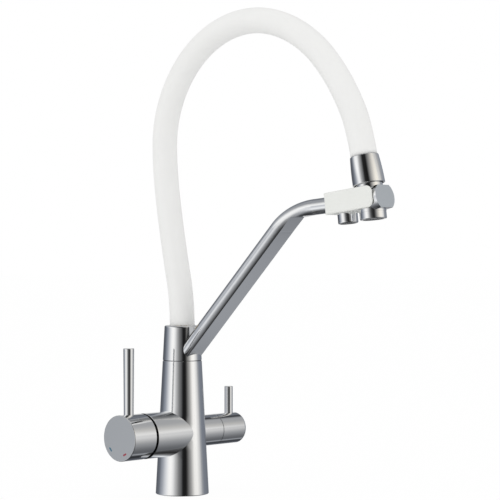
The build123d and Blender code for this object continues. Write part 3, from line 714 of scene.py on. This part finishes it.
@dataclass
class Hose:
    """White silicone hose that arches from the collar to the pull-off head."""

    head: PullOffHead
    outer: float = 0.0116
    bore: float = 0.0066
    sides: int = 64
    steps: int = 12
    spline_order: int = 3
    length: float = 0.5475
    foot: float = 0.15305
    exit_run: float = 0.027
    end_run: float = 0.0243
    arch_height: float = 0.4376
    rising: tuple[tuple[float, float], ...] = (
        (-0.0086, 0.2318), (-0.0166, 0.3758), (-0.0226, 0.5199), (-0.024, 0.6675),
        (-0.0104, 0.7997), (0.0154, 0.9076), (0.0501, 0.9768), (0.0895, 1.0),
    )
    falling: tuple[tuple[float, float], ...] = (
        (0.128, 0.0606), (0.1626, 0.2128), (0.187, 0.4148), (0.2048, 0.628),
    )

    def route(self) -> list[Vector]:
        """Points that steer the hose, from the collar to the sleeve.

        Returns:
            The points in metres.
        """
        end = self.head.hose_end()
        rise = self.arch_height - self.foot
        fall = self.arch_height - end.z
        inner = [Vector((0.0, -forward, self.foot + share * rise))
                 for forward, share in self.rising]
        inner += [Vector((0.0, -forward, self.arch_height - share * fall))
                  for forward, share in self.falling]
        return [Vector((0.0, 0.0, self.foot)), Vector((0.0, 0.0, self.foot + self.exit_run)),
                *inner, end + self.head.up() * self.end_run, end]

    def centreline(self) -> list[Vector]:
        """Smooth line of the hose, read from its spline.

        Returns:
            Points along the line in metres.
        """
        curve = bpy.data.curves.new("hose_route", "CURVE")
        curve.dimensions = "3D"
        spline = curve.splines.new("NURBS")
        route = self.route()
        spline.points.add(len(route) - 1)
        for point, place in zip(spline.points, route):
            point.co = (*place, 1.0)
        spline.order_u = self.spline_order
        spline.use_endpoint_u = True
        spline.resolution_u = self.steps
        holder = bpy.data.objects.new("hose_route", curve)
        bpy.context.scene.collection.objects.link(holder)
        line = bpy.data.meshes.new_from_object(holder)
        places = [vertex.co.copy() for vertex in line.vertices]
        bpy.data.objects.remove(holder)
        return places

    def tube_points(self, line: list[Vector]) -> list[Vector]:
        """Corners of the tube, an outer and an inner ring at each place.

        Args:
            line: Points along the hose.

        Returns:
            The corners in metres.
        """
        across = Vector((1.0, 0.0, 0.0))
        points: list[Vector] = []
        for number, place in enumerate(line):
            ahead = line[min(number + 1, len(line) - 1)] - line[max(number - 1, 0)]
            side = ahead.normalized().cross(across)
            for radius in (self.outer, self.bore):
                for step in range(self.sides):
                    turn = math.tau * step / self.sides
                    points.append(place + radius * (math.cos(turn) * across
                                                    + math.sin(turn) * side))
        return points

    def tube_faces(self, places: int) -> list[list[int]]:
        """Faces of the tube's skin, its bore and its two ends.

        Args:
            places: Number of places along the hose.

        Returns:
            Corner numbers of each face.
        """
        ring = 2 * self.sides
        faces: list[list[int]] = []
        for low in range(0, (places - 1) * ring, ring):
            for inner in (0, self.sides):
                for step in range(self.sides):
                    first, after = low + inner + step, low + inner + (step + 1) % self.sides
                    faces.append([first, after, after + ring, first + ring])
        for base in (0, (places - 1) * ring):
            for step in range(self.sides):
                first, after = base + step, base + (step + 1) % self.sides
                faces.append([first, after, after + self.sides, first + self.sides])
        return faces

    def build(self) -> bpy.types.Object:
        """Make the tube with its bore, and hang it between collar and head.

        Returns:
            The hose.
        """
        line = self.centreline()
        mesh = mesh_from("arched_hose", self.tube_points(line), self.tube_faces(len(line)))
        hose = scene_object("arched_hose", mesh)
        # the photographed chrome shows nothing of the hose
        hose.visible_glossy = False
        PAINTS.dress(hose, Finish.SILICONE)
        self.head.hose_end().y + self.outer
        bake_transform(hose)
        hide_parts("silicone_hose", "hose_liner")
        return hose


@dataclass
class Studio:
    """White set, one soft lamp and the photograph's camera."""

    camera_place: Point = (-1.2547, -1.2547, 0.2283)
    camera_yaw: float = 0.0358
    focal_pixels: float = 1891.0
    frame_pixels: float = 500.0
    sensor: float = 36.0
    middle_row: float = 249.7
    tent_radius: float = 9.0
    metal_tone: float = 0.935
    tent_cuts: int = 5
    green_share: float = 0.35
    floor_half: float = 12.0
    floor_drop: float = 0.0002
    floor_tone: float = 0.95
    floor_roughness: float = 0.9
    floor_white_share: float = 0.965
    room_light: float = 0.96
    lamp_side: float = 1.2
    lamp_power: float = 3.0
    lamp_place: Point = (-1.9, -0.6, 1.5)
    lamp_aim: Point = (0.0, -0.1, 0.2)
    display_offset: float = 0.055
    display_power: float = 2.4
    tent_rows: tuple[tuple[float, Tones], ...] = (
        (-64, ((-180, 45, 0.1), (-40, 64, 0.05), (-26, 30, 0.04), (20, 40, 0.0), (180, 45, 0.1))),
        (-45, ((-180, 54, 0.1), (-60, 145, 0.04), (-48, 124, 0.03), (-31, 78, 0.03),
               (0, 35, 0.0), (60, 70, 0.05), (90, 100, 0.05), (122, 90, 0.06), (130, 104, 0.06),
               (134, 152, 0.05), (138, 152, 0.05), (143, 84, 0.08), (153, 34, 0.12), (166, 38, 0.12),
               (180, 54, 0.1))),
        (-24, ((-180, 94, 0.12), (-150, 100, 0.12), (-120, 140, 0.08), (-97, 230, 0.02),
               (-84, 244, 0.01), (-76, 220, 0.02), (-64, 176, 0.03), (-50, 148, 0.02),
               (-30, 105, 0.0), (0, 45, 0.0), (30, 85, 0.0), (60, 130, 0.0), (80, 142, 0.0),
               (96, 142, 0.03), (110, 124, 0.04), (130, 104, 0.06), (150, 94, 0.1),
               (172, 95, 0.12), (180, 94, 0.12))),
        (0, ((-180, 225, 0.0), (-168, 215, 0.0), (-160, 72, 0.15), (-124, 94, 0.14),
             (-112, 122, 0.12), (-103, 137, 0.11), (-96, 153, 0.08), (-88, 180, 0.05),
             (-80, 204, 0.03), (-72, 226, 0.01), (-63, 245, -0.01), (-54, 250, -0.01),
             (-46, 238, -0.01), (-40, 222, 0.0), (-32, 188, 0.0), (-16, 124, 0.01),
             (-3, 80, 0.03), (1, 40, 0.05), (6, 24, 0.02), (17, 26, 0.02), (22, 60, -0.01),
             (28, 102, -0.01), (40, 156, -0.01), (48, 200, -0.02), (57, 238, -0.02),
             (71, 244, -0.02), (91, 198, 0.0), (99, 154, 0.04), (113, 120, 0.12),
             (159, 110, 0.12), (168, 215, 0.0), (180, 225, 0.0))),
        (5, ((-180, 225, 0.0), (-168, 215, 0.0), (-160, 76, 0.14), (-124, 98, 0.12),
             (-112, 130, 0.1), (-103, 150, 0.08), (-96, 172, 0.05), (-88, 198, 0.03),
             (-80, 220, 0.01), (-72, 238, 0.0), (-63, 246, -0.01), (-54, 244, -0.01),
             (-46, 226, 0.0), (-40, 204, 0.0), (-30, 162, 0.01), (-18, 118, 0.01),
             (-2, 72, 0.03), (2, 46, 0.03), (6, 28, 0.02), (17, 26, 0.02), (22, 62, -0.01),
             (28, 106, -0.02), (40, 158, -0.03), (48, 204, -0.03), (57, 242, -0.03),
             (71, 246, -0.02), (91, 198, 0.0), (99, 152, 0.04), (113, 122, 0.1),
             (159, 112, 0.12), (168, 215, 0.0), (180, 225, 0.0))),
        (12, ((-180, 225, 0.0), (-169, 215, 0.0), (-160, 80, 0.13), (-142, 88, 0.13),
              (-130, 130, 0.08), (-118, 160, 0.06), (-106, 198, 0.03), (-96, 230, 0.0),
              (-86, 246, 0.0), (-75, 250, 0.0), (-66, 228, 0.0), (-58, 184, 0.01),
              (-50, 150, 0.01), (-41, 118, 0.02), (-34, 80, 0.03), (-27, 40, 0.03),
              (-15, 32, 0.0), (3, 36, 0.0), (11, 62, 0.0), (19, 110, 0.0), (28, 150, -0.03),
              (42, 202, -0.05), (55, 238, -0.05), (70, 242, -0.04), (82, 228, -0.02),
              (91, 220, -0.01), (99, 160, 0.03), (112, 138, 0.07), (135, 140, 0.1),
              (159, 124, 0.1), (168, 215, 0.0), (180, 225, 0.0))),
        (25, ((-180, 100, 0.12), (-120, 160, 0.05), (-90, 225, 0.0), (-70, 222, 0.0),
              (-55, 160, 0.0), (-43, 124, 0.02), (-35, 84, 0.02), (-29, 34, 0.0),
              (-6, 22, 0.0), (-1, 58, 0.0), (5, 106, 0.0), (13, 144, -0.02),
              (25, 182, -0.04), (38, 220, -0.06), (52, 244, -0.07), (64, 243, -0.07),
              (74, 224, -0.04), (82, 206, -0.02), (90, 200, -0.02), (97, 184, -0.02),
              (108, 160, 0.02), (125, 154, 0.03), (145, 130, 0.06), (165, 106, 0.1),
              (180, 84, 0.14))),
        (44, ((-180, 90, 0.12), (-120, 150, 0.05), (-75, 90, 0.05), (-50, 42, 0.08),
              (-5, 42, 0.08), (25, 110, 0.0), (60, 200, -0.03), (90, 170, 0.0),
              (108, 160, 0.01), (124, 158, 0.02),
              (131, 138, 0.03), (137, 98, 0.04), (143, 48, 0.08), (150, 46, 0.12),
              (157, 92, 0.12), (164, 112, 0.1), (172, 106, 0.12), (180, 70, 0.12))),
        (66, ((-180, 190, 0.01), (180, 190, 0.01))),
    )

    def light(self, display: float) -> float:
        """Strength of the tent that shows as a display grey on the metal.

        Args:
            display: Grey on the display, 0 to 255.

        Returns:
            The strength.
        """
        level = (display / DISPLAY_WHITE + self.display_offset) / (1.0 + self.display_offset)
        return level ** self.display_power / self.metal_tone

    def row(self, made: Shader, share: bpy.types.NodeSocket,
            tones: Tones) -> bpy.types.NodeSocket:
        """One row of the tent, lit by tones set at angles round the camera.

        Args:
            made: The material it belongs to.
            share: Place round the camera, 0 to 1.
            tones: Angle in degrees, display grey and blueness of each stop.

        Returns:
            The row's colour.
        """
        ramp = made.node("ShaderNodeValToRGB")
        made.link(share, ramp.inputs["Fac"])
        stops = ramp.color_ramp.elements
        for number, (angle, grey, blueness) in enumerate(tones):
            place = angle / FULL_TURN + 0.5
            stop = stops[number] if number < 2 else stops.new(place)
            stop.position = place
            tints = (1.0, 1.0 + self.green_share * blueness, 1.0 + blueness)
            stop.color = (*(self.light(grey * tint) for tint in tints), 1.0)
        return ramp.outputs["Color"]

    def tent_material(self) -> bpy.types.Material:
        """Glow of the photographer's tent, set in rows from low to high.

        Returns:
            The material.
        """
        made = Shader("tent_glow")
        place = made.node("ShaderNodeSeparateXYZ")
        made.link(made.position, place.inputs["Vector"])
        east, north, up = place.outputs
        side = made.calculate("SUBTRACT", east, north)
        front = made.calculate("MULTIPLY", made.calculate("ADD", east, north), -1.0)
        around = made.calculate("ARCTAN2", side, front)
        share = made.calculate("MULTIPLY_ADD", around, 1.0 / math.tau, 0.5)
        sine = made.calculate("DIVIDE", up, self.tent_radius)
        height = made.calculate("DEGREES", made.calculate("ARCSINE", sine))
        lowest, tones = self.tent_rows[0]
        result = self.row(made, share, tones)
        for elevation, tones in self.tent_rows[1:]:
            weight = made.node("ShaderNodeMapRange", From_Min=lowest, From_Max=elevation)
            made.link(height, weight.inputs["Value"])
            result = made.mix(weight.outputs["Result"], result, self.row(made, share, tones))
            lowest = elevation
        glow = made.node("ShaderNodeEmission", Strength=1.0)
        made.link(result, glow.inputs["Color"])
        made.show(glow.outputs["Emission"])
        return made.material

    def tent(self) -> None:
        """Round tent that only the polished metal sees."""
        work = bmesh.new()
        bmesh.ops.create_icosphere(work, subdivisions=self.tent_cuts, radius=self.tent_radius)
        mesh = bpy.data.meshes.new("photo_tent")
        work.to_mesh(mesh)
        work.free()
        mesh.materials.append(self.tent_material())
        tent = scene_object("photo_tent", mesh)
        for ray in ("camera", "diffuse", "transmission", "volume_scatter", "shadow"):
            setattr(tent, "visible_" + ray, False)

    def white_rays(self, tree: bpy.types.NodeTree) -> bpy.types.NodeSocket:
        """Rays that see the surroundings as plain white.

        Args:
            tree: Node tree of the surface or the surroundings.

        Returns:
            1 for rays of the camera, of gloss and through glass, else 0.
        """
        rays = tree.nodes.new("ShaderNodeLightPath")
        seen = rays.outputs["Is Camera Ray"]
        for kind in ("Is Glossy Ray", "Is Transmission Ray"):
            either = tree.nodes.new("ShaderNodeMath")
            either.operation = "MAXIMUM"
            tree.links.new(seen, either.inputs[0])
            tree.links.new(rays.outputs[kind], either.inputs[1])
            seen = either.outputs["Value"]
        return seen

    def floor(self) -> None:
        """Pale floor that is white to the camera and keeps a faint shadow."""
        half = self.floor_half
        corners = [Vector((x, y, -self.floor_drop)) for x, y in
                   ((-half, -half), (half, -half), (half, half), (-half, half))]
        mesh = mesh_from("studio_floor", corners, [[0, 1, 2, 3]])
        made = Shader("floor_white")
        made.surface.inputs["Base Color"].default_value = (*(self.floor_tone,) * 3, 1.0)
        made.surface.inputs["Roughness"].default_value = self.floor_roughness
        glow = made.node("ShaderNodeEmission", Color=(1.0, 1.0, 1.0, 1.0), Strength=1.0)
        share = made.calculate("MULTIPLY", self.white_rays(made.tree), self.floor_white_share)
        mix = made.node("ShaderNodeMixShader")
        made.link(share, mix.inputs["Fac"])
        made.link(made.surface.outputs["BSDF"], mix.inputs[1])
        made.link(glow.outputs["Emission"], mix.inputs[2])
        made.show(mix.outputs["Shader"])
        mesh.materials.append(made.material)
        floor = scene_object("studio_floor", mesh)
        floor.visible_glossy = False

    def world(self) -> None:
        """White surroundings for the camera, a plain level for everything else."""
        world = bpy.data.worlds.new("white_room")
        bpy.context.scene.world = world
        world.use_nodes = True
        tree = world.node_tree
        level = tree.nodes.new("ShaderNodeMapRange")
        level.inputs["To Min"].default_value = self.room_light
        level.inputs["To Max"].default_value = 1.0
        tree.links.new(self.white_rays(tree), level.inputs["Value"])
        sky = tree.nodes["Background"]
        sky.inputs["Color"].default_value = (1.0, 1.0, 1.0, 1.0)
        tree.links.new(level.outputs["Result"], sky.inputs["Strength"])

    def lamp(self) -> None:
        """One large soft lamp, high and to the left of the camera."""
        light = bpy.data.lights.new("soft_lamp", "AREA")
        light.shape = "SQUARE"
        light.size = self.lamp_side
        light.energy = self.lamp_power
        lamp = bpy.data.objects.new("soft_lamp", light)
        bpy.context.scene.collection.objects.link(lamp)
        lamp.location = self.lamp_place
        lamp.rotation_mode = "QUATERNION"
        aim = Vector(self.lamp_aim) - lamp.location
        lamp.rotation_quaternion = aim.to_track_quat("-Z", "Y")
        lamp.visible_glossy = False

    def camera(self) -> None:
        """Camera at the photograph's place, level and turned a little to the right."""
        data = bpy.data.cameras.new("photo_camera")
        data.sensor_width = self.sensor
        data.lens = self.focal_pixels * self.sensor / self.frame_pixels
        data.shift_y = (self.middle_row - self.frame_pixels / 2.0) / self.frame_pixels
        camera = bpy.data.objects.new("photo_camera", data)
        bpy.context.scene.collection.objects.link(camera)
        camera.location = self.camera_place
        camera.rotation_euler = (math.pi / 2.0, 0.0, -math.pi / 4.0 - self.camera_yaw)
        bpy.context.scene.camera = camera

    def build(self) -> None:
        """Set up the whole studio."""
        bpy.context.scene.view_settings.view_transform = "Standard"
        self.camera()
        self.world()
        self.lamp()
        self.floor()
        self.tent()
        LOG.info("studio is set")


def main() -> None:
    """Build the studio, dress the tap and make its new pieces."""
    logging.basicConfig(level=logging.INFO, format="%(name)s: %(message)s")
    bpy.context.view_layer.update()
    Studio().build()
    arm = SpoutArm()
    head = PullOffHead(arm)
    for piece in (Column(), MixerValve(), FilterValve(), arm, head):
        piece.build()
    hose = Hose(head).build()
    LOG.info("%s has %d faces", hose.name, len(hose.data.polygons))


if __name__ == "__main__":
    main()
